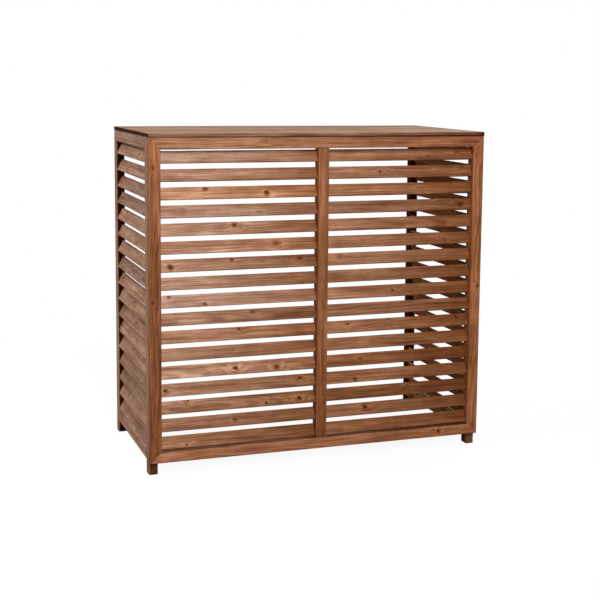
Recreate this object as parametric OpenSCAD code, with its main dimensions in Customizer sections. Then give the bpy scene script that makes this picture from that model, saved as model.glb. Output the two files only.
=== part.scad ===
// Slatted timber cover that stands over an outdoor air conditioner unit.
// The origin is on the ground at the middle of the footprint: X across, Y front to back, Z up.
// The back and the underside are open.

/* [Overall] */
// Width of the cover, side to side
cover_w = 1000; // [800:10:1200]
// Depth of the cover, front to back
cover_d = 500; // [460:10:580]
// Height from the ground to the top of the lid
cover_h = 946; // [800:2:1100]
// Height of the feet below the frame
foot_h = 36; // [20:2:60]

/* [Posts and rails] */
// Thickness of the posts, rails and batten
stock_t = 25; // [24:0.5:32]
// Width of a post, front to back
post_d = 34; // [30:1:50]
// Rounding of the long edges of posts, rails and batten
stock_r = 2.5; // [1:0.5:4]
// Width of the batten under the middle of the lid
batten_w = 33; // [20:1:60]

/* [Front frame] */
// Depth of the frame moulding, front to back
frame_d = 33; // [32:1:45]
// Thickness of the moulding where it laps over the posts
lip_t = 20; // [16:1:24]
// Rounding of the moulding's front edges
frame_front_r = 4; // [1:0.5:6]
// Rounding of the moulding's rear edges
frame_rear_r = 1.5; // [0.5:0.5:2]
// Width of the centre stile
centre_stile_w = 32; // [26:1:60]
// Gap that shows along each mitre, measured along the moulding
mitre_gap = 0.2; // [0.1:0.1:0.5]

/* [Slats] */
// Number of slats in each bay
slat_count = 17; // [8:1:17]
// Width of a slat
slat_w = 36.5; // [30:0.5:40]
// Thickness of a slat
slat_t = 6; // [4:0.5:8]
// Rounding of a slat's long edges
slat_r = 1.5; // [0.5:0.5:1.5]
// Lean of a slat from upright, top edge inwards
slat_lean = 28; // [15:1:32]
// Distance from the front of the frame back to the slats
slat_setback = 9; // [6:0.5:10]
// Gap above the top slat
top_gap = 4.5; // [2:0.5:10]
// Gap below the bottom slat
bottom_gap = 1.8; // [1:0.1:10]
// Depth of the housing that holds a slat's end
housing_d = 5; // [3:0.5:8]
// Wood left in the moulding behind a housing
housing_wall = 3; // [2:0.5:6]
// Gap between a slat's end and the bottom of its housing
slat_end_gap = 0.5; // [0.2:0.1:1]

/* [Lid] */
// Thickness of the lid boards
lid_t = 10; // [8:1:20]
// Number of boards in the lid, front to back
board_count = 4; // [4:1:4]
// Width of a full lid board, the rear one being cut to fit
board_w = 135; // [120:1:150]
// Gap between neighbouring boards
board_gap = 1; // [0.5:0.5:4]
// Rounding of a board's upper long edges
board_r = 1.5; // [1:0.5:3]
// Rounding of a board's lower long edges
board_lower_r = 1; // [0.5:0.5:2]

/* [Screws] */
// Shank diameter of the frame and panel screws
frame_screw_d = 4; // [3:0.5:5]
// Length of a frame screw
frame_screw_l = 60; // [55:5:80]
// Depth below the frame's top of the screws into the top rails and the batten
rail_screw_drop = 20; // [19:0.5:21]
// Depth below the frame's top of the screws into the ends of the rear rail
rear_screw_drop = 10; // [8:1:11]
// Number of screws from each front post into the moulding
panel_screw_count = 3; // [2:1:5]
// Length of a panel screw inside the moulding
panel_screw_bite = 12; // [8:1:14]
// Shank diameter of the lid screws
lid_screw_d = 3.5; // [3:0.5:4.5]
// Length of a lid screw below the lid
lid_screw_bite = 15; // [10:1:15]
// Depth of the screw heads below the wood's surface
head_sink = 0.2; // [0.1:0.1:0.5]

/* [Fits] */
// Gap between pieces that seat on each other
fit = 0.2; // [0.1:0.1:0.4]
// Radial gap round a screw
screw_gap = 0.1; // [0.05:0.05:0.3]

/* [Hidden] */
$fn = 48;
timber = "#a8714e";
dark_timber = "#96603f";
lid_timber = "#9c6746";
steel = "#8d8f92";

// Countersunk heads are twice as wide as the shank, at 45 degrees, with a thin rim and a pointed tip
head_ratio = 2;
head_rim = 0.3;
tip_l = 5;

// The moulding's width covers a post, its fit, a slat housing and the wood behind it
rib_w = housing_d + housing_wall;
frame_w = stock_t + fit + rib_w;
frame_top = cover_h - lid_t;
frame_h = frame_top - foot_h;
front_y = -cover_d / 2;
rear_y = cover_d / 2;
left_x = -cover_w / 2;

// Posts stand in the moulding's rebate at the front and flush with the back
front_post_y = front_y + lip_t + fit;
rear_post_y = rear_y - post_d;
side_bay = rear_post_y - front_post_y - post_d;
side_bay_y = front_post_y + post_d + side_bay / 2;
rail_x = cover_w / 2 - stock_t / 2;

// Slats fill the height between the rails at an even pitch
opening_h = frame_h - 2 * frame_w;
slat_rise = (slat_w - 2 * slat_r) * cos(slat_lean) + (slat_t - 2 * slat_r) * sin(slat_lean) + 2 * slat_r;
slat_depth = (slat_w - 2 * slat_r) * sin(slat_lean) + (slat_t - 2 * slat_r) * cos(slat_lean) + 2 * slat_r;
slat_pitch = (opening_h - top_gap - bottom_gap - slat_rise) / (slat_count - 1);
front_slat_y = front_y + slat_setback + slat_depth / 2;
bay_w = (cover_w - 2 * frame_w - centre_stile_w) / 2;
bay_x = (centre_stile_w + bay_w) / 2;

// Panel screws pass midway between the slats that follow these numbers
panel_screw_slats = [for (n = [1 : panel_screw_count]) round((n - 0.5) * slat_count / panel_screw_count)];
board_pitch = board_w + board_gap;
supports_x = [-rail_x, 0, rail_x];

left = -1;
right = 1;
sides = [left, right];

function side_name(side) = side == left ? "left" : "right";
function slat_name(side, k) = str("front_", side_name(side), "_slat_", k < 10 ? "0" : "", k);
function board_name(k) = str("lid_board_", k);
function slat_z(k) = foot_h + frame_w + opening_h - top_gap - slat_rise / 2 - (k - 1) * slat_pitch;
function board_y(k) = front_y + (k - 1) * board_pitch;
function board_depth(k) = k < board_count ? board_w : rear_y - board_y(k);

// General shapes

// Rectangle from the origin with one rounding for its two lower corners and one for its upper two
module rounded_rect(w, h, low_r, high_r) {
    polygon([
        [0, low_r], [low_r, 0], [w - low_r, 0], [w, low_r],
        [w, h - high_r], [w - high_r, h], [high_r, h], [0, h - high_r]
    ]);
    for (x = [low_r, w - low_r]) translate([x, low_r]) circle(low_r);
    for (x = [high_r, w - high_r]) translate([x, h - high_r]) circle(high_r);
}

// Builds its child at the left, or mirrored at the right
module on_side(side) {
    if (side == left) children();
    else mirror([1, 0, 0]) children();
}

// Plain stock with rounded long edges, from the origin, running up
module upright(w, d, length) {
    linear_extrude(length) rounded_rect(w, d, stock_r, stock_r);
}

// Plain stock with rounded long edges, from the origin, running back
module bar_along_y(w, h, length) {
    translate([0, length, 0]) rotate([90, 0, 0]) linear_extrude(length) rounded_rect(w, h, stock_r, stock_r);
}

// Plain stock with rounded long edges, from the origin, running right
module bar_along_x(d, h, length) {
    rotate([90, 0, 90]) linear_extrude(length) rounded_rect(d, h, stock_r, stock_r);
}

// Moulding section: X from the outer edge inwards, Y from the front face back, with its rebate outside
module moulding_section() {
    rounded_rect(frame_w, lip_t, frame_front_r, frame_rear_r);
    translate([frame_w - rib_w, lip_t / 2])
        rounded_rect(rib_w, frame_d - lip_t / 2, frame_rear_r, frame_rear_r);
}

// Length of moulding running up, mitred at both ends
module mitred_moulding(length) {
    over = 1;
    intersection() {
        linear_extrude(length) moulding_section();
        rotate([90, 0, 0]) translate([0, 0, -frame_d - over]) linear_extrude(frame_d + 2 * over)
            polygon([
                [-over, mitre_gap - over], [frame_w + over, frame_w + mitre_gap + over],
                [frame_w + over, length - frame_w - mitre_gap - over], [-over, length - mitre_gap + over]
            ]);
    }
}

// Slat centred on the origin along X, grown all round by a clearance
module slat_bar(length, grow = 0) {
    rotate([-slat_lean, 0, 0]) rotate([90, 0, 90]) linear_extrude(length, center = true)
        translate([-slat_t / 2 - grow, -slat_w / 2 - grow])
            rounded_rect(slat_t + 2 * grow, slat_w + 2 * grow, slat_r + grow, slat_r + grow);
}

// Screw with its head on the XY plane, pointing down
module screw(d, length) {
    rotate_extrude() polygon([
        [0, -head_sink], [head_ratio * d / 2, -head_sink], [head_ratio * d / 2, -head_sink - head_rim],
        [d / 2, -head_sink - head_rim - (head_ratio - 1) * d / 2], [d / 2, tip_l - length], [0, -length]
    ]);
}

// Hole for that screw, cut from just above the surface
module screw_hole(d, length) {
    rim_r = head_ratio * d / 2 + screw_gap;
    hole_r = d / 2 + screw_gap;
    rotate_extrude() polygon([
        [0, fit / 2], [rim_r, fit / 2], [rim_r, -head_sink - head_rim],
        [hole_r, -head_sink - head_rim - (head_ratio - 1) * d / 2], [hole_r, tip_l - length - screw_gap],
        [0, -length - 2 * screw_gap]
    ]);
}

// Places of the screws

module at_lid_screws() {
    for (k = [1 : board_count], x = supports_x, part = [1 / 3, 2 / 3])
        translate([x, board_y(k) + part * board_depth(k), cover_h]) children();
}

module at_panel_screws() {
    for (x = [-rail_x, rail_x], k = panel_screw_slats)
        translate([x, front_post_y + post_d, (slat_z(k) + slat_z(k + 1)) / 2]) rotate([-90, 0, 0]) children();
}

module at_frame_screws() {
    // Down and up through the front rails into the stiles
    for (x = [-1, 0, 1] * (cover_w / 2 - lip_t / 2)) {
        translate([x, front_y + lip_t / 2, frame_top]) children();
        translate([x, front_y + lip_t / 2, foot_h]) rotate([180, 0, 0]) children();
    }
    // Through the posts into the ends of the side rails
    for (x = [-rail_x, rail_x], z = [frame_top - rail_screw_drop, foot_h + frame_w / 2]) {
        translate([x, front_post_y, z]) rotate([90, 0, 0]) children();
        translate([x, rear_y, z]) rotate([-90, 0, 0]) children();
    }
    // Through the rear posts into the ends of the rear rail
    for (side = sides) on_side(side)
        translate([left_x, rear_y - stock_t / 2, frame_top - rear_screw_drop]) rotate([0, -90, 0]) children();
    // Through the rear rail into the batten
    translate([0, rear_y, frame_top - rail_screw_drop]) rotate([-90, 0, 0]) children();
}

module lid_screw_holes() {
    at_lid_screws() screw_hole(lid_screw_d, lid_t + lid_screw_bite);
}

module panel_screw_holes() {
    at_panel_screws() screw_hole(frame_screw_d, post_d + fit + panel_screw_bite);
}

module frame_screw_holes() {
    at_frame_screws() screw_hole(frame_screw_d, frame_screw_l);
}

// Places of the slats

module at_front_slat(side, k) {
    translate([side * bay_x, front_slat_y, slat_z(k)]) children();
}

module at_side_slats() {
    for (k = [1 : slat_count]) translate([-rail_x, side_bay_y, slat_z(k)]) rotate([0, 0, -90]) children();
}

// Housings at both ends of every slat of a front bay
module front_housings(side) {
    for (k = [1 : slat_count]) at_front_slat(side, k) slat_bar(bay_w + 2 * housing_d, fit);
}

// Front frame

module front_stile(side) {
    color(timber) difference() {
        on_side(side) translate([left_x, front_y, foot_h]) mitred_moulding(frame_h);
        front_housings(side);
        panel_screw_holes();
        frame_screw_holes();
    }
}

module front_top_rail() {
    color(timber) difference() {
        translate([left_x, front_y, frame_top]) rotate([0, 90, 0]) mitred_moulding(cover_w);
        frame_screw_holes();
    }
}

module front_bottom_rail() {
    color(timber) difference() {
        translate([-left_x, front_y, foot_h]) rotate([0, -90, 0]) mitred_moulding(cover_w);
        frame_screw_holes();
    }
}

module front_centre_stile() {
    color(timber) difference() {
        translate([-centre_stile_w / 2, front_y, foot_h + frame_w + fit])
            linear_extrude(opening_h - 2 * fit)
                rounded_rect(centre_stile_w, frame_d, frame_front_r, frame_rear_r);
        for (side = sides) front_housings(side);
        frame_screw_holes();
    }
}

module front_slat(side, k) {
    color(timber) at_front_slat(side, k) slat_bar(bay_w + 2 * (housing_d - slat_end_gap));
}

// Sides

module post(side, y) {
    color(dark_timber) on_side(side) difference() {
        translate([left_x, y, 0]) upright(stock_t, post_d, frame_top);
        at_side_slats() slat_bar(side_bay + 2 * housing_d, fit);
        panel_screw_holes();
        frame_screw_holes();
        lid_screw_holes();
    }
}

module side_rail(side, z) {
    color(dark_timber) on_side(side) difference() {
        translate([left_x, front_post_y + post_d + fit, z]) bar_along_y(stock_t, frame_w, side_bay - 2 * fit);
        frame_screw_holes();
        lid_screw_holes();
    }
}

module side_slats(side) {
    color(timber) on_side(side) at_side_slats() slat_bar(side_bay + 2 * (housing_d - slat_end_gap));
}

module rear_top_rail() {
    color(dark_timber) difference() {
        translate([left_x + stock_t + fit, rear_y - stock_t, frame_top - frame_w])
            bar_along_x(stock_t, frame_w, cover_w - 2 * (stock_t + fit));
        frame_screw_holes();
        lid_screw_holes();
    }
}

// Lid

module lid_board(k) {
    color(lid_timber) difference() {
        translate([left_x, board_y(k), frame_top]) rotate([90, 0, 90])
            linear_extrude(cover_w) rounded_rect(board_depth(k), lid_t, board_lower_r, board_r);
        lid_screw_holes();
    }
}

// The batten's front end sits in the rebate of the top rail
module lid_centre_batten() {
    color(dark_timber) difference() {
        translate([-batten_w / 2, front_post_y, frame_top - stock_t])
            bar_along_y(batten_w, stock_t, rear_y - stock_t - fit - front_post_y);
        frame_screw_holes();
        lid_screw_holes();
    }
}

// Screws

module lid_screws() {
    color(steel) at_lid_screws() screw(lid_screw_d, lid_t + lid_screw_bite);
}

module panel_screws() {
    color(steel) at_panel_screws() screw(frame_screw_d, post_d + fit + panel_screw_bite);
}

module frame_screws() {
    color(steel) at_frame_screws() screw(frame_screw_d, frame_screw_l);
}

front_top_rail();
front_bottom_rail();
front_stile(left);  // front_left_stile
front_stile(right);  // front_right_stile
front_centre_stile();
for (side = sides, k = [1 : slat_count])
    front_slat(side, k);
post(left, front_post_y);  // left_front_post
post(right, front_post_y);  // right_front_post
post(left, rear_post_y);  // left_rear_post
post(right, rear_post_y);  // right_rear_post
side_rail(left, frame_top - frame_w);  // left_top_rail
side_rail(right, frame_top - frame_w);  // right_top_rail
side_rail(left, foot_h);  // left_bottom_rail
side_rail(right, foot_h);  // right_bottom_rail
side_slats(left);  // left_side_slats
side_slats(right);  // right_side_slats
rear_top_rail();
for (k = [1 : board_count])
    lid_board(k);
lid_centre_batten();
lid_screws();
panel_screws();
frame_screws();
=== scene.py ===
import math
import random

import bmesh
import bpy
from mathutils import Matrix, Vector


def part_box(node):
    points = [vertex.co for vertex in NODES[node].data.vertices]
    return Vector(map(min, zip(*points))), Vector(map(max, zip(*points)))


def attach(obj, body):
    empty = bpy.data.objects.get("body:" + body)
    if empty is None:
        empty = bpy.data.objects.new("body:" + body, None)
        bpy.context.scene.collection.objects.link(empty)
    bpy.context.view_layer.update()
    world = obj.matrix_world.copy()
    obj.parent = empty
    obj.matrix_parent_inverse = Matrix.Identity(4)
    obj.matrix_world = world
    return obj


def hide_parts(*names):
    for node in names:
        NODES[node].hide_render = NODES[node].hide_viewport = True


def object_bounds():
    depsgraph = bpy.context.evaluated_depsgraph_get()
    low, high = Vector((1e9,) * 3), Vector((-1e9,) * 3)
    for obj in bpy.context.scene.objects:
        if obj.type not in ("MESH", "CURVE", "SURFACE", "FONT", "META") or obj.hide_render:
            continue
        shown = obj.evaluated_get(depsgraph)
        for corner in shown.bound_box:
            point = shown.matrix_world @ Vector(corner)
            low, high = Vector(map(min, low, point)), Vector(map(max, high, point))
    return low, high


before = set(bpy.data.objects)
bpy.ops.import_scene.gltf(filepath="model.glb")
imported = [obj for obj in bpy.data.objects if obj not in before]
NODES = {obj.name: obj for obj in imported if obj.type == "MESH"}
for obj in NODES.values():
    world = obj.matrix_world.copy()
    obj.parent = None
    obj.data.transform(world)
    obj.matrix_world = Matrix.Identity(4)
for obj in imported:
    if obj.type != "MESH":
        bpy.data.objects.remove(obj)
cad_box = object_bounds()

UP = Vector((0, 0, 1))
RIGHT = Vector((1, 0, 0))
BACK = Vector((0, 1, 0))

# The cover's own sizes, in metres
HALF_WIDTH = cad_box[1].x
HALF_DEPTH = cad_box[1].y
SLAT_LEAN = math.radians(28)
SLAT_THICKNESS = 0.006
FRAME_TIMBER = 0.033
LID_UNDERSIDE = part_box("lid_board_1")[0].z
BOTTOM_RAIL_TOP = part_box("front_bottom_rail")[0].z + FRAME_TIMBER

# Photograph: 600 by 600 pixels, with a camera fitted to the cover's straight edges
PHOTO_SIDE = 600
FOCAL_PIXELS = 1230.9
CENTRE_PIXEL = (321.5, 232.9)
CAMERA_PLACE = Vector((-1.1839, -3.4961, 1.0962))
CAMERA_YAW = 0.3480
CAMERA_PITCH = 0.1246
CAMERA_ROLL = 0.0107
SENSOR = 36.0

# Stained softwood: each pair is a dark, fresh stain and a paler, greyer one, as linear albedos
SLAT_STAIN = ((0.17, 0.056, 0.018), (0.51, 0.305, 0.212))
FRAME_STAIN = ((0.21, 0.064, 0.020), (0.445, 0.212, 0.117))
STILE_STAIN = ((0.17, 0.055, 0.018), (0.355, 0.143, 0.060))
SIDE_STAIN = ((0.22, 0.085, 0.040), (0.415, 0.255, 0.180))
LID_STAIN = ((0.18, 0.086, 0.048), (0.436, 0.260, 0.173))
# How far a kind of piece goes from the fresh to the paler stain, at the low and at the high end of its grain
# The change along a piece is painted sheen and light falloff, lighter and greyer towards the left and the
# top; the level is the stain's own colour
FADE_AND_SHEEN = {
    "front_left_slat": (0.95, 0.42),
    "front_right_slat": (0.70, 0.14),
    "front_top_rail": (1.00, 0.38),
    "front_bottom_rail": (0.85, 0.60),
    "front_left_stile": (0.12, 1.00),
    "front_right_stile": (0.86, 0.95),
    "front_centre_stile": (0.52, 1.00),
    "left_front_post": (0.72, 0.88),
    "right_front_post": (0.95, 0.88),
    "side": (0.88, 0.88),
    "lid": (0.90, 0.75),
}
# Share of the paler stain lost by a slat at the foot of the cover, against one at its top: painted shade that
# darkens the slats towards the foot
LOW_SLAT_SHADE = 0.32
# How much the pieces differ by chance, in level and from red to blue
LEVEL_SPREAD = 0.07
HUE_SPREAD = 0.03
# Slats that stand out in the photograph as paler, darker, greyer or redder than their neighbours
PLAIN = (1.00, 1.00, 1.00)
GREYED = (1.00, 1.10, 1.25)
RUDDY = (1.03, 0.94, 0.82)
SLAT_TONES = {
    "front_left_slat_01": (1.08, GREYED),
    "front_left_slat_03": (1.22, RUDDY),
    "front_left_slat_05": (1.12, PLAIN),
    "front_left_slat_09": (1.25, GREYED),
    "front_left_slat_11": (1.10, PLAIN),
    "front_left_slat_13": (1.25, GREYED),
    "front_right_slat_03": (0.93, RUDDY),
    "front_right_slat_07": (1.12, PLAIN),
    "front_right_slat_13": (0.88, RUDDY),
    "front_right_slat_15": (0.72, RUDDY),
}

# Inner faces are painted in shade, the rear posts' most of all. On a post they are all that lies deeper than
# a thin unshaded skin, from the cover's sides and back.
# A facing has the values of the surface's normal along some way at which a mask is 0 and 1.
POST_INNER_SHADE = (0.30, 0.235, 0.145)
REAR_POST_INNER_SHADE = (0.13, 0.065, 0.040)
SIDE_INNER_SHADE = (0.96, 0.74, 0.46)
UNSHADED_SKIN = (0.0024, 0.0032)
INWARD_FACING = (0.55, 0.80)
SIDE_RAILS = ("left_top_rail", "right_top_rail", "left_bottom_rail", "right_bottom_rail")
# The feet are painted in shade, but the one at the front right is painted lighter. Both begin at the first
# height and are full from the second one down.
FOOT_SHADE = (0.90, 0.75, 0.60)
FOOT_LIGHT = (1.24, 1.30, 1.27)
FOOT_HEIGHT = (0.0675, 0.045)
# Painted shade on the slats' lower edges, and a painted highlight on the stiles' round edges
SLAT_EDGE_SHADE = (0.50, 0.40, 0.34)
LOWER_EDGE_FACING = (-0.55, -0.85)
EDGE_HIGHLIGHT = (1.18, 1.24, 1.30)
ROUND_BEGINS = (0.25, 0.50)
ROUND_ENDS = (0.98, 0.80)
# The lid's boards differ and have broad bands. Their edge faces and right ends are painted in shade, darker
# towards the right.
LID_TONES = {"lid_board_1": 1.03, "lid_board_2": 0.90, "lid_board_3": 1.05, "lid_board_4": 0.62}
LID_BAND_TONES = (0.55, 1.45)
LID_EDGE_SHADE = ((0.92, 0.84, 0.76), (0.42, 0.29, 0.21))
LID_EDGE_FACING = (0.95, 0.60)
LID_END_SHADE = (0.45, 0.36, 0.30)
LID_END_REACH = (0.968, 0.996)
# Painted shade in the seams between pieces, stronger towards the right: height, reach, and strength at both
# ends of the grain
SEAM_SHADE = (0.16, 0.10, 0.08)
SEAM_SHADES = {
    "lid_board_1": (LID_UNDERSIDE, 0.0030, 0.45, 0.95),
    "front_top_rail": (LID_UNDERSIDE, 0.0036, 0.45, 0.95),
    "front_bottom_rail": (BOTTOM_RAIL_TOP, 0.0026, 0.60, 0.90),
}

# Noises in the wood: cells in a metre along the grain, across it and through the piece, octaves, roughness
FIBRES = ((22.0, 1100.0, 1100.0), 3.0, 0.6)
STREAKS = ((4.5, 130.0, 130.0), 4.0, 0.68)
PATCHES = ((7.0, 34.0, 34.0), 2.0, 0.5)
BLOTCHES = ((24.0, 48.0, 48.0), 3.0, 0.55)
WARMTH = ((9.0, 26.0, 26.0), 2.0, 0.5)
WAVES = ((9.0, 70.0, 70.0), 2.0, 0.5)
FLECKS = ((70.0, 210.0, 210.0), 2.0, 0.5)
LID_BANDS = ((1.5, 24.0, 1.0), 2.0, 0.5)
KNOT_BUMPS = ((150.0, 150.0, 150.0), 2.0, 0.5)
# Noises along a line: cells in a metre or in a ring, the line's place in the noise, octaves
PITH_ACROSS = (2.6, 0.0, 1.0)
PITH_THROUGH = (3.4, 5.0, 1.0)
RING_GAPS = (0.35, 2.0, 1.0)
RING_STRENGTHS = (0.9, 7.0, 0.0)
# All that is left to chance comes from one number. A piece's own place in the noises is drawn from the range.
RANDOM_SEED = 11
SEED_RANGE = 60
SEED_ACROSS = 1.7

# Year rings, in metres: their width, the pith's reach from the piece's middle, and what shifts them
RING_WIDTH = 0.0042
PITH_REACH = ((0.0, 0.075), (0.025, 0.085))
PITH_WANDER = 0.022
RING_TAPER = 0.010
KNOT_BEND = 0.007
WAVE_BEND = 0.0022
# In ring widths, and as shares of the late wood's darkness
RING_UNEVENNESS = 1.6
RING_STRENGTH = (0.3, 1.2)
# The dense late wood's share of a ring, where it begins and where it ends
LATE_BEGINS = (0.30, 0.86)
LATE_ENDS = (1.0, 0.92)

# Knots: a reach has the distances from the middle, in knot radii, at which a mask is 0 and 1
KNOT_NUMBERS = (1, 2, 3)
# Least radius, for a knot that isn't there
NO_KNOT = 0.00001
# Distances from a knot: the weight of one along the grain, and the factors that make an outline uneven
ALONG_WEIGHT = 0.80
KNOT_OUTLINE = (0.55, 1.45)
HALO_FALL = 0.16
HALO_PALENESS = (0.25, 1.0)
CORE_REACH = (1.05, 0.45)
CORE_DARKNESS = (0.05, 0.5)
DARK_REACH = (1.0, 0.1)
BROWN_REACH = (2.4, 0.9)
RIM_PLACE = 0.98
RIM_SHARPNESS = 3.0
# Values of the flecks' noise at which the light and the brown ones begin and are full
GLOW_FLECKS = (0.36, 0.58)
BROWN_FLECKS = (0.60, 0.42)

# Factors on the stain's red, green and blue, and colours of a knot's dark parts
EARLY_WOOD = (1.22, 1.24, 1.26)
LATE_WOOD = (0.66, 0.50, 0.40)
LATE_STRENGTH = 0.68
PINK = (1.03, 0.965, 1.02)
GOLDEN = (1.01, 1.00, 0.93)
PINK_TO_GOLDEN = (0.35, 0.62)
KNOT_GLOW = (1.50, 1.54, 1.54)
KNOT_BROWN = (0.68, 0.50, 0.40)
LIGHT_CORE = (0.62, 0.48, 0.38)
DARK_CORE = (0.034, 0.010, 0.004)
RIM_COLOUR = (0.06, 0.018, 0.007)
RIM_STRENGTH = 0.40
END_GRAIN = (0.15, 0.10, 0.08)
END_FACING = (0.55, 0.85)
# How strongly the noises shade the stain, and the powers that make dark streaks redder than light ones
STREAK_SHADE = 2.2
PATCH_SHADE = 1.15
FIBRE_SHADE = 0.70
BLOTCH_SHADE = 0.80
DARKEST_SHADE = 0.15
SHADE_POWERS = (0.85, 1.12, 1.35)

# Slats of a stack that share one node: spreads of their tones, piths and knots, in metres
STACK_TONES = (0.82, 1.18)
STACK_PITHS = (-0.05, 0.05)
STACK_KNOTS_ALONG = (-0.23, 0.23)
STACK_KNOTS_ACROSS = (-0.015, 0.015)
STACK_KNOT_RADIUS = 0.006
STACK_DARKNESS = 0.9
STACK_SEED_STEP = 3.7
# Knots by chance, on pieces whose own don't show in the photograph: shares of the sizes, radius, darkness
CHANCE_ALONG = 0.47
CHANCE_ACROSS = 0.38
CHANCE_RADIUS = (0.004, 0.009)
CHANCE_DARKNESS = (0.2, 1.0)

# Gloss and relief: the stain is matt, and the late wood and knots are a little smoother
MATT = 0.06
ROUGHNESS = (0.56, 0.72)
LATE_GLOSS = 0.07
KNOT_GLOSS = 0.12
FIBRE_RELIEF = 0.45
LATE_RELIEF = 0.5
KNOT_RELIEF = 0.3
BUMP_STRENGTH = 0.5
BUMP_DEPTH = 0.0005

# Knots seen in the photograph: pixel across, pixel down, radius in millimetres, darkness
KNOTS = {
    "front_top_rail": [(264, 141, 7, 0.25)],
    "front_bottom_rail": [(433, 430, 5, 0.9), (438.5, 431, 5, 0.7)],
    "front_left_stile": [(152.5, 168, 6, 0.45), (153, 303, 4, 0.8), (152, 435, 5, 0.15)],
    "front_right_stile": [(476, 151, 10, 0.1), (477, 286, 4, 0.9)],
    "front_centre_stile": [(325, 300, 4, 0.1)],
    "front_left_slat_03": [(205, 189, 6, 0.55), (267, 192.5, 8, 0.75)],
    "front_left_slat_04": [(183, 211, 6, 0.2), (258, 212, 6, 0.35)],
    "front_left_slat_05": [(234, 225, 6, 0.7), (240, 226, 6, 0.0), (236, 233.5, 4, 1.0)],
    "front_left_slat_06": [(277, 243, 9, 0.45)],
    "front_left_slat_07": [(170, 267.5, 7, 0.9), (232, 259.5, 5, 0.95), (299, 258, 6, 0.8)],
    "front_left_slat_09": [(168, 297, 6, 0.6), (205, 304, 5, 0.75)],
    "front_left_slat_10": [(253, 311.5, 6, 0.6)],
    "front_left_slat_11": [(239, 329, 4, 0.6)],
    "front_left_slat_12": [(234, 349, 5, 0.1)],
    "front_left_slat_13": [(235, 368, 8, 0.9), (277, 367, 8, 0.75)],
    "front_left_slat_14": [(165, 391, 8, 0.9), (300, 378, 8, 0.85)],
    "front_left_slat_15": [(188, 401, 6, 0.9), (266, 403, 4, 0.5), (299, 398, 7, 0.7)],
    "front_left_slat_16": [(234, 419, 6, 0.5)],
    "front_left_slat_17": [(187, 445, 6, 0.5)],
    "front_right_slat_01": [(331, 156, 5, 0.1), (429, 157, 5, 0.4), (456, 152, 6, 0.5)],
    "front_right_slat_02": [(380, 171.5, 5, 0.4), (462, 166, 5, 0.4)],
    "front_right_slat_03": [(421, 191, 6, 0.3)],
    "front_right_slat_04": [(459, 204, 10, 0.7)],
    "front_right_slat_06": [(443, 240, 7, 0.2)],
    "front_right_slat_07": [(338, 257, 7, 0.2)],
    "front_right_slat_08": [(372, 273, 6, 0.2)],
    "front_right_slat_09": [(393, 290, 4, 0.7)],
    "front_right_slat_11": [(348, 323.5, 5, 0.95), (388, 319, 4, 0.4), (456, 317, 6, 0.6)],
    "front_right_slat_13": [(360, 359, 6, 0.3), (463, 348, 6, 0.3)],
    "front_right_slat_14": [(355, 379, 7, 0.7)],
    "front_right_slat_15": [(412, 388, 6, 0.3)],
    "front_right_slat_16": [(365, 407, 9, 0.95)],
}
# Pieces whose knots don't show, other than the lid's: way of the grain, way across the broad face
UNSEEN_KNOTS = (
    ("left_front_post", UP, BACK),
    ("right_front_post", UP, BACK),
    ("left_rear_post", UP, BACK),
    ("right_rear_post", UP, BACK),
    ("left_top_rail", BACK, UP),
    ("right_top_rail", BACK, UP),
    ("left_bottom_rail", BACK, UP),
    ("right_bottom_rail", BACK, UP),
    ("rear_top_rail", RIGHT, UP),
    ("lid_centre_batten", BACK, RIGHT),
)

# Screws, with depths in metres and widths in head radii
SCREW_SIDES = 24
# The cross recess from its floor up: arm, half width, depth. Its middle is a little deeper.
RECESS_DEPTH = 0.0019
RECESS_TIP = 1.15
RECESS = ((0.20, 0.07, RECESS_DEPTH), (0.52, 0.12, 0.0003), (0.60, 0.15, 0.0))
# The head's edge: width, depth
HEAD_RIM = 0.0003
HEAD_EDGE = ((0.96, 0.0), (1.0, 0.0001), (1.0, HEAD_RIM))
# Shank and thread: the core is a share of the shank, and the start a share of the length
SHANK_WIDTH = 0.5
THREAD_CORE = 0.68
THREAD_START = 0.42
THREAD_PITCH = 0.0018
RINGS_PER_TURN = 4
SCREW_TIP = 0.005
THREAD_END = 0.0008
SMOOTH_BELOW = math.radians(35)
WELD_DISTANCE = 1e-6
STEEL_DULL = (0.42, 0.41, 0.38)
STEEL_BRIGHT = (0.66, 0.65, 0.62)
STEEL_ROUGHNESS = (0.22, 0.47)
STEEL_BLOTCHES = 700.0

# Light: the share of white that comes from all around, and each lamp's way from its target and its power
AMBIENT = 0.08
LAMPS = {
    "front_lamp": (Vector((-0.06, -0.87, 0.49)), 264),
    "side_lamp": (Vector((-0.72, 0.12, 0.68)), 145),
    "rear_lamp": (Vector((0.72, 0.66, 0.22)), 155),
}
LAMP_TARGET = Vector((0, 0, 0.5))
LAMP_DISTANCE = 6.0
LAMP_SIZE = 3.0
# Floor: its albedo for the light that it gives, the share of it that shows, and the fades to white in metres
FLOOR_RADIUS = 12
FLOOR_SIDES = 96
FLOOR_ROUGHNESS = 0.9
FLOOR_BOUNCE = (0.25, 0.31)
FLOOR_GRAIN = 30.0
SHADOW_SHARE = 0.14
SHADOW_FADE = (0.8, 1.8)
GLOSS_FADE = (0.4, 0.8)
# The backdrop's glow where none and where all of the lit floor shows
BACKDROP = (1.0, 0.4)


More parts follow.
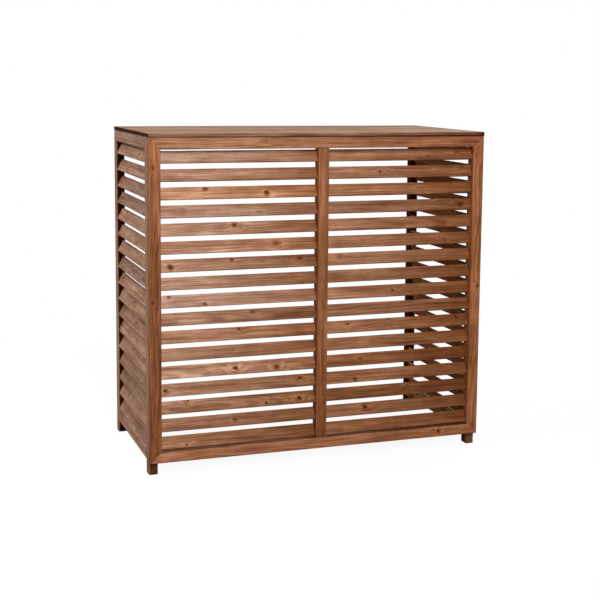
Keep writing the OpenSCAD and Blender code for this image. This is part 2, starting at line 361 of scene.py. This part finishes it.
class Tree:
    """Short ways to add and join nodes in one shader tree. Values may be numbers, tuples or sockets."""

    def __init__(self, node_tree):
        self.nodes = node_tree.nodes
        self.links = node_tree.links

    def add(self, kind, **settings):
        node = self.nodes.new("ShaderNode" + kind)
        for key, value in settings.items():
            setattr(node, key, value)
        return node

    def feed(self, socket, value):
        if isinstance(value, bpy.types.NodeSocket):
            self.links.new(value, socket)
        else:
            socket.default_value = value

    def feed_all(self, node, values):
        for socket, value in zip(node.inputs, values):
            self.feed(socket, value)

    def math(self, operation, *values, clamp=False):
        node = self.add("Math", operation=operation, use_clamp=clamp)
        self.feed_all(node, values)
        return node.outputs[0]

    def plus(self, a, b):
        return self.math("ADD", a, b)

    def minus(self, a, b):
        return self.math("SUBTRACT", a, b)

    def times(self, a, b):
        return self.math("MULTIPLY", a, b)

    def over(self, a, b):
        return self.math("DIVIDE", a, b)

    def larger(self, a, b):
        return self.math("MAXIMUM", a, b)

    def absolute(self, value):
        return self.math("ABSOLUTE", value)

    def times_plus(self, a, b, c):
        return self.math("MULTIPLY_ADD", a, b, c)

    def hypot(self, a, b):
        return self.math("SQRT", self.plus(self.times(a, a), self.times(b, b)))

    def between(self, share, at_zero, at_one, clamp=False):
        """at_zero where share is 0, at_one where it is 1."""
        return self.math("MULTIPLY_ADD", share, at_one - at_zero, at_zero, clamp=clamp)

    def swing(self, noise, strength):
        """A factor that a noise moves up and down from 1."""
        return self.times_plus(self.minus(noise, 0.5), strength, 1.0)

    def step(self, value, start, end):
        """0 at start, 1 at end, smooth between, whichever of the two is larger."""
        node = self.add("MapRange", interpolation_type="SMOOTHSTEP")
        for name, given in (("Value", value), ("From Min", start), ("From Max", end)):
            self.feed(node.inputs[name], given)
        return node.outputs[0]

    def vector(self, operation, *values):
        node = self.add("VectorMath", operation=operation)
        self.feed_all(node, values)
        return node.outputs["Value" if operation in ("DOT_PRODUCT", "LENGTH") else "Vector"]

    def combine(self, x, y, z):
        node = self.add("CombineXYZ")
        self.feed_all(node, (x, y, z))
        return node.outputs[0]

    def separate(self, value):
        node = self.add("SeparateXYZ")
        self.feed(node.inputs[0], value)
        return node.outputs

    def noise(self, place, scale, detail, roughness=0.5):
        node = self.add("TexNoise")
        self.feed(node.inputs["Vector"], place)
        self.feed(node.inputs["Scale"], scale)
        self.feed(node.inputs["Detail"], detail)
        self.feed(node.inputs["Roughness"], roughness)
        return node.outputs["Fac"]

    def figure(self, place, kind):
        """One of the wood's noises."""
        cells, detail, roughness = kind
        return self.noise(self.vector("MULTIPLY", place, cells), 1.0, detail, roughness)

    def mix(self, share, a, b, blend="MIX"):
        node = self.add("Mix", data_type="RGBA", blend_type=blend)
        self.feed(node.inputs[0], share)
        for socket, value in ((node.inputs[6], a), (node.inputs[7], b)):
            self.feed(socket, (*value, 1) if isinstance(value, tuple) else value)
        return node.outputs[2]

    def tinted(self, colour, factors):
        return self.mix(1.0, colour, factors, "MULTIPLY")

    def tinted_where(self, mask, colour, factors):
        return self.mix(mask, colour, self.tinted(colour, factors))

    def grey(self, level):
        return self.combine(level, level, level)


def new_material(name):
    """A material, its main shader, and a Tree to add nodes with."""
    material = bpy.data.materials.new(name)
    material.use_nodes = True
    shader = next(node for node in material.node_tree.nodes if node.type == "BSDF_PRINCIPLED")
    return material, shader, Tree(material.node_tree)


def knots_in(tree, given, along, across, seeded):
    """Masks of up to three knots, and the way across the piece, bent where grain lines part round them."""
    masks = dict.fromkeys(("near", "pale", "core", "dark", "brown", "rim"), 0.0)

    def widen(name, mask):
        masks[name] = tree.larger(mask, masks[name])

    outline = tree.between(tree.figure(seeded, KNOT_BUMPS), *KNOT_OUTLINE)
    for number in KNOT_NUMBERS:
        knot_along, knot_across, radius = tree.separate(given[f"Knot {number}"])
        darkness = given[f"Darkness {number}"]
        off_along = tree.times(tree.minus(along, knot_along), ALONG_WEIGHT)
        off_across = tree.minus(across, knot_across)
        distance = tree.times(tree.hypot(off_along, off_across), outline)
        share = tree.over(distance, tree.larger(radius, NO_KNOT))
        squared = tree.times(share, share)
        # Grain lines part round the knot as a stream round a post
        parting = tree.minus(1.0, tree.over(1.0, tree.larger(squared, 1.0)))
        across = tree.times_plus(off_across, parting, knot_across)
        halo = tree.math("EXPONENT", tree.times(squared, -HALO_FALL))
        widen("near", halo)
        widen("pale", tree.times(halo, tree.between(darkness, *HALO_PALENESS)))
        widen("core", tree.times(tree.step(share, *CORE_REACH), tree.step(darkness, *CORE_DARKNESS)))
        widen("dark", tree.times(tree.step(share, *DARK_REACH), darkness))
        widen("brown", tree.times(tree.step(share, *BROWN_REACH), darkness))
        off_rim = tree.absolute(tree.times(tree.minus(share, RIM_PLACE), RIM_SHARPNESS))
        widen("rim", tree.times(tree.minus(1.0, off_rim), darkness))
    return masks, across


def late_wood_in(tree, given, along, across, through, bent, near_knot):
    """The dense late wood of year rings round a pith that wanders along the piece."""
    seed = given["Seed"]

    def line_noise(value, kind):
        cells, row, detail = kind
        return tree.noise(tree.combine(tree.times(value, cells), seed, row), 1.0, detail)

    pith = tree.separate(given["Pith"])
    offsets = []
    for place, centre, kind in ((across, pith[1], PITH_ACROSS), (through, pith[2], PITH_THROUGH)):
        wander = tree.times(tree.minus(line_noise(along, kind), 0.5), PITH_WANDER)
        offsets.append(tree.minus(tree.minus(place, centre), wander))
    radius = tree.hypot(*offsets)
    shifts = ((along, RING_TAPER), (near_knot, KNOT_BEND), (tree.figure(bent, WAVES), WAVE_BEND))
    for cause, shift in shifts:
        radius = tree.times_plus(cause, shift, radius)
    turn = tree.over(radius, RING_WIDTH)
    turn = tree.times_plus(line_noise(turn, RING_GAPS), RING_UNEVENNESS, turn)
    part = tree.math("FRACT", turn)
    late = tree.times(tree.step(part, *LATE_BEGINS), tree.step(part, *LATE_ENDS))
    return tree.times(late, tree.between(line_noise(turn, RING_STRENGTHS), *RING_STRENGTH, clamp=True))


def stain_in(tree, tint, seeded, bent, late, fibres):
    """The stain's colour on early and late wood, in pink and golden areas, shaded along the grain."""
    early_wood = tree.tinted(tint, EARLY_WOOD)
    late_wood = tree.tinted(tint, LATE_WOOD)
    colour = tree.mix(tree.times(late, LATE_STRENGTH), early_wood, late_wood)
    warm = tree.step(tree.figure(seeded, WARMTH), *PINK_TO_GOLDEN)
    colour = tree.mix(warm, tree.tinted(colour, PINK), tree.tinted(colour, GOLDEN))
    shade = tree.swing(tree.figure(bent, STREAKS), STREAK_SHADE)
    shade = tree.times(shade, tree.swing(tree.figure(bent, PATCHES), PATCH_SHADE))
    shade = tree.times(shade, tree.swing(fibres, FIBRE_SHADE))
    shade = tree.times(shade, tree.swing(tree.figure(bent, BLOTCHES), BLOTCH_SHADE))
    shade = tree.larger(shade, DARKEST_SHADE)
    return tree.tinted(colour, tree.combine(*(tree.math("POWER", shade, power) for power in SHADE_POWERS)))


def knot_colours_in(tree, colour, bent, knots):
    """Light, swirling wood round each knot, flecked with brown, and the knot's core and dark rim."""
    flecks = tree.figure(bent, FLECKS)
    pale = tree.times(knots["pale"], tree.step(flecks, *GLOW_FLECKS))
    colour = tree.tinted_where(pale, colour, KNOT_GLOW)
    brown = tree.times(knots["brown"], tree.step(flecks, *BROWN_FLECKS))
    colour = tree.tinted_where(brown, colour, KNOT_BROWN)
    core = tree.mix(knots["dark"], tree.tinted(colour, LIGHT_CORE), DARK_CORE)
    colour = tree.mix(knots["core"], colour, core)
    return tree.mix(tree.times(knots["rim"], RIM_STRENGTH), colour, RIM_COLOUR)


def softwood_group():
    """Softwood as a solid: rings round a pith, up to three knots, fibres, streaks and stain."""
    node_tree = bpy.data.node_groups.new("softwood", "ShaderNodeTree")
    inputs = {"Point": "Vector", "Along": "Vector", "Pith": "Vector", "Seed": "Float", "Tint": "Color"}
    for number in KNOT_NUMBERS:
        inputs[f"Knot {number}"] = "Vector"
        inputs[f"Darkness {number}"] = "Float"
    outputs = {"Color": "Color", "Roughness": "Float", "Height": "Float", "End": "Float"}
    for way, sockets in (("INPUT", inputs), ("OUTPUT", outputs)):
        for name, kind in sockets.items():
            node_tree.interface.new_socket(name, in_out=way, socket_type="NodeSocket" + kind)
    tree = Tree(node_tree)
    given = node_tree.nodes.new("NodeGroupInput").outputs
    result = node_tree.nodes.new("NodeGroupOutput").inputs

    along, across, through = tree.separate(given["Point"])
    seed = given["Seed"]
    seeded = tree.vector("ADD", given["Point"], tree.combine(seed, tree.times(seed, SEED_ACROSS), 0.0))
    knots, across = knots_in(tree, given, along, across, seeded)
    bent = tree.vector("ADD", tree.combine(along, across, through), tree.combine(seed, seed, 0.0))
    late = late_wood_in(tree, given, along, across, through, bent, knots["near"])
    fibres = tree.figure(bent, FIBRES)
    colour = stain_in(tree, given["Tint"], seeded, bent, late, fibres)
    colour = knot_colours_in(tree, colour, bent, knots)

    # End grain soaks up more stain
    facing = tree.vector("DOT_PRODUCT", tree.add("NewGeometry").outputs["Normal"], given["Along"])
    end = tree.step(tree.absolute(facing), *END_FACING)
    tree.feed(result["Color"], tree.tinted_where(end, colour, END_GRAIN))
    tree.feed(result["End"], end)

    roughness = tree.minus(tree.between(fibres, *ROUGHNESS), tree.times(late, LATE_GLOSS))
    tree.feed(result["Roughness"], tree.minus(roughness, tree.times(knots["core"], KNOT_GLOSS)))
    relief = tree.plus(tree.times(fibres, FIBRE_RELIEF), tree.times(late, LATE_RELIEF))
    tree.feed(result["Height"], tree.plus(relief, tree.times(knots["core"], KNOT_RELIEF)))
    return node_tree


SOFTWOOD = softwood_group()


def stack_figure(tree, spot, seed, pith, rows, centre):
    """Own grain, tone and knot for each slat of a stack in one node, by its number below the first."""
    first, pitch = rows
    number = tree.math("ROUND", tree.over(tree.minus(first, tree.separate(spot)[2]), pitch))
    lift = tree.minus(tree.times(number, pitch), first - centre.z)
    spot = tree.vector("ADD", spot, tree.combine(0.0, 0.0, lift))
    lottery = tree.add("TexWhiteNoise", noise_dimensions="1D")
    tree.feed(lottery.inputs["W"], tree.plus(number, seed))
    draws = tree.separate(lottery.outputs["Color"])
    seed = tree.times_plus(number, STACK_SEED_STEP, seed)
    pith = tree.vector("ADD", pith, tree.combine(0.0, tree.between(draws[1], *STACK_PITHS), 0.0))
    tone = tree.between(draws[0], *STACK_TONES)
    knot_along = tree.between(draws[2], *STACK_KNOTS_ALONG)
    knot_across = tree.between(draws[1], *STACK_KNOTS_ACROSS)
    knot = tree.combine(knot_along, knot_across, STACK_KNOT_RADIUS)
    return spot, seed, pith, tone, [(knot, tree.times(draws[0], STACK_DARKNESS))]


def post_shade_and_light(tree, surface, name, spot, centre):
    """A post's painted shade on its foot and inner faces, with painted light instead on the front right foot,
    and a mask of the inner faces.
    """
    from_middle, depth, height = tree.separate(spot)
    # Painted shade on the foot, and painted light on the front right one
    foot = FOOT_LIGHT if name == "right_front_post" else FOOT_SHADE
    surface = tree.tinted_where(tree.step(height, *FOOT_HEIGHT), surface, foot)
    beside = tree.step(tree.absolute(from_middle), *(HALF_WIDTH - reach for reach in UNSHADED_SKIN))
    before = tree.step(depth, *(HALF_DEPTH - reach for reach in UNSHADED_SKIN))
    shaded_inside = tree.times(beside, before)
    # Painted shade on the inner faces, darkest on the rear posts
    stain = POST_INNER_SHADE if centre.y < 0 else REAR_POST_INNER_SHADE
    return tree.tinted_where(shaded_inside, surface, stain), shaded_inside


def inward_shade(tree, surface, facing, centre):
    """Painted shade on the inward faces of a side panel's slats and rails, and a mask of these."""
    inward = RIGHT if centre.x < 0 else -RIGHT
    # Painted shade on the faces that look into the cover
    shaded_inside = tree.step(tree.vector("DOT_PRODUCT", facing, inward), *INWARD_FACING)
    return tree.tinted_where(shaded_inside, surface, SIDE_INNER_SHADE), shaded_inside


def lower_edge_shade(tree, surface, facing):
    """Painted shade on a slat's lower edge."""
    return tree.tinted_where(tree.step(tree.separate(facing)[2], *LOWER_EDGE_FACING), surface, SLAT_EDGE_SHADE)


def stile_highlight(tree, surface, facing):
    """A painted highlight on a stile's round edges."""
    turned = tree.absolute(tree.separate(facing)[0])
    highlit = tree.times(tree.step(turned, *ROUND_BEGINS), tree.step(turned, *ROUND_ENDS))
    return tree.tinted_where(highlit, surface, EDGE_HIGHLIGHT)


def lid_bands_and_shade(tree, surface, facing, spot, share):
    """A lid board's bands, and painted shade on its edges and right end."""
    surface = tree.tinted(surface, tree.grey(tree.between(tree.figure(spot, LID_BANDS), *LID_BAND_TONES)))
    edge = tree.step(tree.absolute(tree.separate(facing)[2]), *LID_EDGE_FACING)
    surface = tree.tinted_where(edge, surface, tree.mix(share, *LID_EDGE_SHADE))
    return tree.tinted_where(tree.step(share, *LID_END_REACH), surface, LID_END_SHADE)


def seam_shade(tree, surface, name, spot, share):
    """Painted shade where a piece meets its neighbour."""
    height, reach, at_low_end, at_high_end = SEAM_SHADES[name]
    apart = tree.absolute(tree.minus(tree.separate(spot)[2], height))
    strength = tree.between(share, at_low_end, at_high_end)
    return tree.tinted_where(tree.times(tree.step(apart, reach, reach / 2), strength), surface, SEAM_SHADE)


def painted_light_and_bands(tree, surface, name, centre, spot, share, in_stack):
    """A piece's colour with its painted shade, light and highlights and a lid board's bands, and a mask of
    its inner faces, which are painted in shade.
    """
    facing = tree.add("NewGeometry").outputs["Normal"]
    shaded_inside = 0.0
    if name.endswith("_post"):
        surface, shaded_inside = post_shade_and_light(tree, surface, name, spot, centre)
    if in_stack or name in SIDE_RAILS:
        surface, shaded_inside = inward_shade(tree, surface, facing, centre)
    if "slat" in name:
        surface = lower_edge_shade(tree, surface, facing)
    if name.endswith("_stile"):
        surface = stile_highlight(tree, surface, facing)
    if name in LID_TONES:
        surface = lid_bands_and_shade(tree, surface, facing, spot, share)
    if name in SEAM_SHADES:
        surface = seam_shade(tree, surface, name, spot, share)
    return surface, shaded_inside


def gloss_and_relief(tree, shader, wood, shaded_inside):
    """A matt surface, dullest on end grain and on the inner faces that are painted in shade, with the wood's
    relief.
    """
    dull = tree.larger(wood.outputs["End"], shaded_inside)
    tree.feed(shader.inputs["Roughness"], tree.larger(wood.outputs["Roughness"], dull))
    shader.inputs["Specular IOR Level"].default_value = MATT
    bump = tree.add("Bump")
    bump.inputs["Strength"].default_value = BUMP_STRENGTH
    bump.inputs["Distance"].default_value = BUMP_DEPTH
    tree.feed(bump.inputs["Height"], wood.outputs["Height"])
    tree.feed(shader.inputs["Normal"], bump.outputs[0])


def laid_out(tree, spot, centre, along, across):
    """A place in the piece as ways along the grain, across the broad face and through it, from its centre."""
    turn = Matrix((along, across, along.cross(across))).transposed()
    laid = tree.add("Mapping", vector_type="TEXTURE")
    tree.feed(laid.inputs["Vector"], spot)
    tree.feed(laid.inputs["Location"], centre)
    tree.feed(laid.inputs["Rotation"], turn.to_euler("XYZ"))
    return laid.outputs[0]


def varied(tints, chance):
    """Tints a little lighter or darker, and redder or bluer, than the given ones."""
    level = 1 + chance.uniform(-LEVEL_SPREAD, LEVEL_SPREAD)
    hue = chance.uniform(-HUE_SPREAD, HUE_SPREAD)
    return [(red * level * (1 + hue), green * level, blue * level * (1 - hue)) for red, green, blue in tints]


def timber_material(name, centre, along, across, tints, chance, knots=(), rows=None):
    """Softwood with its grain along one way and its broad face across another, from a piece's centre.

    tints are the colours at the low and the high end of the grain.
    rows is the height of the first of a stack of slats in one node, and the pitch from one down to the next.
    """
    material, shader, tree = new_material(name)
    seed = chance.uniform(0, SEED_RANGE)
    low, high = varied(tints, chance)
    pith = (0.0, *(chance.choice((-1, 1)) * chance.uniform(*reach) for reach in PITH_REACH))
    places = [((along_at, across_at, radius), darkness) for along_at, across_at, radius, darkness in knots]
    spot = tree.add("TexCoord").outputs["Object"]
    tone = 1.0
    if rows:
        spot, seed, pith, tone, places = stack_figure(tree, spot, seed, pith, rows, centre)
    point = laid_out(tree, spot, centre, along, across)
    box_low, box_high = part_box(name)
    length = abs((box_high - box_low).dot(along))
    share = tree.math("MULTIPLY_ADD", tree.separate(point)[0], 1 / length, 0.5, clamp=True)
    tint = tree.tinted(tree.mix(share, low, high), tree.grey(tone))

    wood = tree.add("Group", node_tree=SOFTWOOD)
    given = {"Point": point, "Along": along, "Seed": seed, "Pith": pith, "Tint": tint}
    for number, (knot, darkness) in zip(KNOT_NUMBERS, places):
        given[f"Knot {number}"] = knot
        given[f"Darkness {number}"] = darkness
    for socket, value in given.items():
        tree.feed(wood.inputs[socket], value)
    surface, shaded_inside = painted_light_and_bands(tree, wood.outputs["Color"], name, centre, spot, share, bool(rows))
    tree.feed(shader.inputs["Base Color"], surface)
    gloss_and_relief(tree, shader, wood, shaded_inside)
    return material


def dress(node, material):
    """Gives a CAD node its material in every slot."""
    for slot in NODES[node].material_slots:
        slot.material = material


def centre_of(node):
    low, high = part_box(node)
    return (low + high) / 2


def camera_axes():
    """The fitted camera's ways to the right, up and forward."""
    forward = Vector((math.sin(CAMERA_YAW) * math.cos(CAMERA_PITCH),
                      math.cos(CAMERA_YAW) * math.cos(CAMERA_PITCH),
                      -math.sin(CAMERA_PITCH)))
    level_right = Vector((math.cos(CAMERA_YAW), -math.sin(CAMERA_YAW), 0))
    level_up = level_right.cross(forward)
    right = math.cos(CAMERA_ROLL) * level_right + math.sin(CAMERA_ROLL) * level_up
    up = math.cos(CAMERA_ROLL) * level_up - math.sin(CAMERA_ROLL) * level_right
    return right, up, forward


def photo_knots(name, centre, along, across, thickness):
    """The piece's knots from the photograph, as places on its front face."""
    right, up, forward = camera_axes()
    normal = along.cross(across)
    if normal.y > 0:
        normal = -normal
    face = centre + normal * thickness / 2
    knots = []
    for column, row, radius, darkness in KNOTS.get(name, ()):
        sideways = (column - CENTRE_PIXEL[0]) / FOCAL_PIXELS
        down = (row - CENTRE_PIXEL[1]) / FOCAL_PIXELS
        sight = forward + right * sideways - up * down
        hit = CAMERA_PLACE + sight * ((face - CAMERA_PLACE).dot(normal) / sight.dot(normal)) - centre
        knots.append((hit.dot(along), hit.dot(across), radius / 1000, darkness))
    return knots


def chance_knots(chance, length, width):
    """Knots scattered over a piece's broad face."""
    knots = []
    for _ in range(chance.randint(1, len(KNOT_NUMBERS))):
        along_at = chance.uniform(-CHANCE_ALONG, CHANCE_ALONG) * length
        across_at = chance.uniform(-CHANCE_ACROSS, CHANCE_ACROSS) * width
        knots.append((along_at, across_at, chance.uniform(*CHANCE_RADIUS), chance.uniform(*CHANCE_DARKNESS)))
    return knots


def fade_and_sheen_tints(stain, kind, loss=0.0):
    """Colours at both ends of a piece's grain, whose difference is painted sheen and light falloff."""
    tints = []
    for pale_share in FADE_AND_SHEEN[kind]:
        share = max(pale_share - loss, 0.0)
        tints.append(tuple(fresh * (pale_stain / fresh) ** share for fresh, pale_stain in zip(*stain)))
    return tints


def slat_rows():
    """The height of the first slat, and the pitch from one down to the next."""
    first = centre_of("front_left_slat_01").z
    return first, first - centre_of("front_left_slat_02").z


def dress_front_slats(chance):
    """Slats with their own tones and knots, and painted shade that darkens them towards the foot of the
    cover.
    """
    first = slat_rows()[0]
    across = Vector((0, math.sin(SLAT_LEAN), math.cos(SLAT_LEAN)))
    for name in sorted(node for node in NODES if node.startswith(("front_left_slat_", "front_right_slat_"))):
        centre = centre_of(name)
        tints = fade_and_sheen_tints(SLAT_STAIN, name.rsplit("_", 1)[0], LOW_SLAT_SHADE * (1 - centre.z / first) ** 2)
        tone, cast = SLAT_TONES.get(name, (1.0, PLAIN))
        tints = [tuple(value * tone * shift for value, shift in zip(tint, cast)) for tint in tints]
        knots = photo_knots(name, centre, RIGHT, across, SLAT_THICKNESS)
        dress(name, timber_material(name, centre, RIGHT, across, tints, chance, knots))


def dress_side_slats(chance):
    """The side panels' slats, all those of one panel in one node."""
    tints = fade_and_sheen_tints(SIDE_STAIN, "side")
    for name, inward in (("left_side_slats", RIGHT), ("right_side_slats", -RIGHT)):
        across = inward * math.sin(SLAT_LEAN) + UP * math.cos(SLAT_LEAN)
        dress(name, timber_material(name, centre_of(name), BACK, across, tints, chance, rows=slat_rows()))


def dress_frame(names, stain, along, across, chance):
    """Stiles or rails of the front frame, with their knots from the photograph."""
    for name in names:
        centre = centre_of(name)
        knots = photo_knots(name, centre, along, across, FRAME_TIMBER)
        dress(name, timber_material(name, centre, along, across, fade_and_sheen_tints(stain, name), chance, knots))


def dress_unseen(chance):
    """Posts, other rails, batten and lid, whose knots are set by chance."""
    lid_tints = fade_and_sheen_tints(LID_STAIN, "lid")
    lid = [(name, RIGHT, BACK) for name in sorted(LID_TONES)]
    for name, along, across in (*UNSEEN_KNOTS, *lid):
        low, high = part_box(name)
        size = high - low
        knots = chance_knots(chance, abs(size.dot(along)), abs(size.dot(across)))
        tints = fade_and_sheen_tints(SIDE_STAIN, name if name in FADE_AND_SHEEN else "side")
        if name in LID_TONES:
            tints = [tuple(value * LID_TONES[name] for value in tint) for tint in lid_tints]
        dress(name, timber_material(name, centre_of(name), along, across, tints, chance, knots))


def steel_material():
    """Zinc-plated screw steel with faint blotches."""
    material, shader, tree = new_material("screw_steel")
    shader.inputs["Metallic"].default_value = 1.0
    blotch = tree.noise(tree.add("TexCoord").outputs["Object"], STEEL_BLOTCHES, 3.0)
    tree.feed(shader.inputs["Base Color"], tree.mix(blotch, STEEL_DULL, STEEL_BRIGHT))
    tree.feed(shader.inputs["Roughness"], tree.between(blotch, *STEEL_ROUGHNESS))
    return material


def loose_parts(mesh):
    """The corners of each separate solid in a mesh, in the mesh's order, so that each run gives the same."""
    sketch = bmesh.new()
    sketch.from_mesh(mesh)
    bmesh.ops.remove_doubles(sketch, verts=sketch.verts, dist=WELD_DISTANCE)
    visited = set()
    parts = []
    for start in sketch.verts:
        if start in visited:
            continue
        visited.add(start)
        waiting = [start]
        part = []
        while waiting:
            corner = waiting.pop()
            part.append(corner.co.copy())
            for edge in corner.link_edges:
                other = edge.other_vert(corner)
                if other not in visited:
                    visited.add(other)
                    waiting.append(other)
        parts.append(part)
    sketch.free()
    return parts


def screw_place(points):
    """A screw's placing, head radius and length, from the corners of its plain solid."""
    low = Vector([min(values) for values in zip(*points)])
    high = Vector([max(values) for values in zip(*points)])
    size = high - low
    axis = max(range(3), key=lambda number: size[number])
    radius = size[(axis + 1) % 3] / 2
    middle = (low + high) / 2
    way = Vector((0, 0, 0))
    way[axis] = 1
    # The head's rim lies furthest from the axis
    outermost = max(points, key=lambda point: ((point - middle) - way * (point - middle).dot(way)).length)
    if (outermost - middle).dot(way) < 0:
        way = -way
    head = middle + way * size[axis] / 2
    turn = way.to_track_quat("Z", "Y").to_matrix().to_4x4()
    return Matrix.Translation(head) @ turn, radius, size[axis]


def cross_outline(arm, half_width):
    """Plus-shaped outline whose 24 points follow the angles of a 24-sided circle."""
    between = (arm + half_width) / 2
    quarter = [(arm, 0), (arm, half_width), (between, half_width), (half_width, half_width),
               (half_width, between), (half_width, arm)]
    outline = []
    for number in range(4):
        turn = Matrix.Rotation(number * math.pi / 2, 2)
        outline += [turn @ Vector(point) for point in quarter]
    return outline


def screw_rings(radius, length):
    """Rings of points from the recess's floor, over the countersunk head and down the thread to the tip."""
    angles = [2 * math.pi * number / SCREW_SIDES for number in range(SCREW_SIDES)]

    def ring(reaches, height):
        return [Vector((reach * math.cos(angle), reach * math.sin(angle), height))
                for reach, angle in zip(reaches, angles)]

    def circle(reach, height):
        return ring([reach] * SCREW_SIDES, height)

    rings = []
    for arm, half_width, depth in RECESS:
        outline = cross_outline(arm * radius, half_width * radius)
        rings.append([Vector((*point, -depth)) for point in outline])
    rings += [circle(radius * share, -depth) for share, depth in HEAD_EDGE]
    shank = radius * SHANK_WIDTH
    core = shank * THREAD_CORE
    thread_top = -length * THREAD_START
    rings += [circle(shank, -HEAD_RIM - radius + shank), circle(shank, thread_top + THREAD_PITCH / 2)]
    height = thread_top
    while height > -length + THREAD_END:
        taper = min(1.0, (height + length) / SCREW_TIP)
        reaches = []
        for angle in angles:
            ridge = (0.5 + 0.5 * math.cos(2 * math.pi * height / THREAD_PITCH - angle)) ** 2
            reaches.append((core + (shank - core) * ridge) * taper)
        rings.append(ring(reaches, height))
        height -= THREAD_PITCH / RINGS_PER_TURN
    return rings


def add_screws(node, material):
    """Cross-head screws with cut threads, in the places of the node's plain ones."""
    sketch = bmesh.new()
    for points in loose_parts(NODES[node].data):
        place, radius, length = screw_place(points)
        rings = [[sketch.verts.new(place @ point) for point in ring] for ring in screw_rings(radius, length)]
        for upper, lower in zip(rings, rings[1:]):
            for number in range(SCREW_SIDES):
                after = (number + 1) % SCREW_SIDES
                sketch.faces.new((upper[number], lower[number], lower[after], upper[after]))
        for ring, height in ((rings[0], -RECESS_DEPTH * RECESS_TIP), (rings[-1], -length)):
            end = sketch.verts.new(place @ Vector((0, 0, height)))
            for number in range(SCREW_SIDES):
                sketch.faces.new((ring[number], ring[(number + 1) % SCREW_SIDES], end))
    bmesh.ops.recalc_face_normals(sketch, faces=sketch.faces)
    mesh = bpy.data.meshes.new(f"{node}_threaded")
    sketch.to_mesh(mesh)
    sketch.free()
    mesh.shade_smooth()
    mesh.set_sharp_from_angle(angle=SMOOTH_BELOW)
    mesh.materials.append(material)
    piece = bpy.data.objects.new(f"{node}_threaded", mesh)
    bpy.context.scene.collection.objects.link(piece)
    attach(piece, "root")
    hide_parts(node)


def add_camera():
    right, up, forward = camera_axes()
    data = bpy.data.cameras.new("camera")
    data.sensor_width = SENSOR
    data.lens = SENSOR * FOCAL_PIXELS / PHOTO_SIDE
    data.shift_x = (PHOTO_SIDE / 2 - CENTRE_PIXEL[0]) / PHOTO_SIDE
    data.shift_y = (CENTRE_PIXEL[1] - PHOTO_SIDE / 2) / PHOTO_SIDE
    camera = bpy.data.objects.new("camera", data)
    turn = Matrix((right, up, -forward)).transposed().to_4x4()
    camera.matrix_world = Matrix.Translation(CAMERA_PLACE) @ turn
    bpy.context.scene.collection.objects.link(camera)
    bpy.context.scene.camera = camera


def seen_directly(tree, in_gloss=1.0):
    """1 where the camera, a mirror or a clear body sees the surface, 0 for the light that it gives."""
    path = tree.add("LightPath").outputs
    direct = tree.larger(path["Is Camera Ray"], tree.times(path["Is Glossy Ray"], in_gloss))
    return tree.larger(direct, path["Is Transmission Ray"])


def add_world():
    """White where it is seen, and dim as a light."""
    world = bpy.data.worlds.new("studio")
    world.use_nodes = True
    bpy.context.scene.world = world
    tree = Tree(world.node_tree)
    background = next(node for node in world.node_tree.nodes if node.type == "BACKGROUND")
    background.inputs["Color"].default_value = (1, 1, 1, 1)
    tree.feed(background.inputs["Strength"], tree.between(seen_directly(tree), AMBIENT, 1.0))


def floor_material():
    """A pale floor that shows as white backdrop, with just enough of the lit floor to keep the shadow."""
    material, shader, tree = new_material("floor")
    shader.inputs["Roughness"].default_value = FLOOR_ROUGHNESS
    shader.inputs["Specular IOR Level"].default_value = 0.0
    place = tree.add("TexCoord").outputs["Object"]
    reach = tree.vector("LENGTH", place)
    # Gloss shows the white too, apart from the shaded floor inside the cover
    seen = seen_directly(tree, tree.step(reach, *GLOSS_FADE))
    bounce = tree.between(tree.noise(place, FLOOR_GRAIN, 2.0), *FLOOR_BOUNCE)
    lit = tree.between(tree.step(reach, *SHADOW_FADE), SHADOW_SHARE, 0.0)
    albedo = tree.plus(bounce, tree.times(seen, tree.minus(lit, bounce)))
    tree.feed(shader.inputs["Base Color"], tree.grey(albedo))
    glow = tree.add("Emission")
    glow.inputs["Color"].default_value = (1, 1, 1, 1)
    tree.feed(glow.inputs["Strength"], tree.times(seen, tree.between(lit, *BACKDROP)))
    both = tree.add("AddShader")
    tree.feed_all(both, (shader.outputs[0], glow.outputs[0]))
    # Clear from below, so that the cover's underside can be looked at
    clear = tree.add("MixShader")
    below = tree.add("NewGeometry").outputs["Backfacing"]
    tree.feed_all(clear, (below, both.outputs[0], tree.add("BsdfTransparent").outputs[0]))
    output = next(node for node in material.node_tree.nodes if node.type == "OUTPUT_MATERIAL")
    tree.feed(output.inputs["Surface"], clear.outputs[0])
    return material


def add_floor():
    """A wide disc under the cover."""
    sketch = bmesh.new()
    bmesh.ops.create_circle(sketch, cap_ends=True, segments=FLOOR_SIDES, radius=FLOOR_RADIUS)
    mesh = bpy.data.meshes.new("floor")
    sketch.to_mesh(mesh)
    sketch.free()
    mesh.materials.append(floor_material())
    floor = bpy.data.objects.new("floor", mesh)
    bpy.context.scene.collection.objects.link(floor)


def add_lamp(name, way, power):
    """A soft lamp that shines on the cover."""
    data = bpy.data.lights.new(name, "AREA")
    data.size = LAMP_SIZE
    data.energy = power
    lamp = bpy.data.objects.new(name, data)
    lamp.location = LAMP_TARGET + way * LAMP_DISTANCE
    lamp.rotation_euler = (LAMP_TARGET - lamp.location).to_track_quat("-Z", "Y").to_euler()
    bpy.context.scene.collection.objects.link(lamp)


add_camera()
add_world()
add_floor()
for lamp_name, (lamp_way, lamp_power) in LAMPS.items():
    add_lamp(lamp_name, lamp_way, lamp_power)
chance = random.Random(RANDOM_SEED)
dress_front_slats(chance)
dress_side_slats(chance)
dress_frame(("front_left_stile", "front_right_stile", "front_centre_stile"), STILE_STAIN, UP, RIGHT, chance)
dress_frame(("front_top_rail", "front_bottom_rail"), FRAME_STAIN, RIGHT, UP, chance)
dress_unseen(chance)
steel = steel_material()
for screws in ("lid_screws", "panel_screws", "frame_screws"):
    add_screws(screws, steel)

bpy.context.scene.view_settings.view_transform = "Standard"
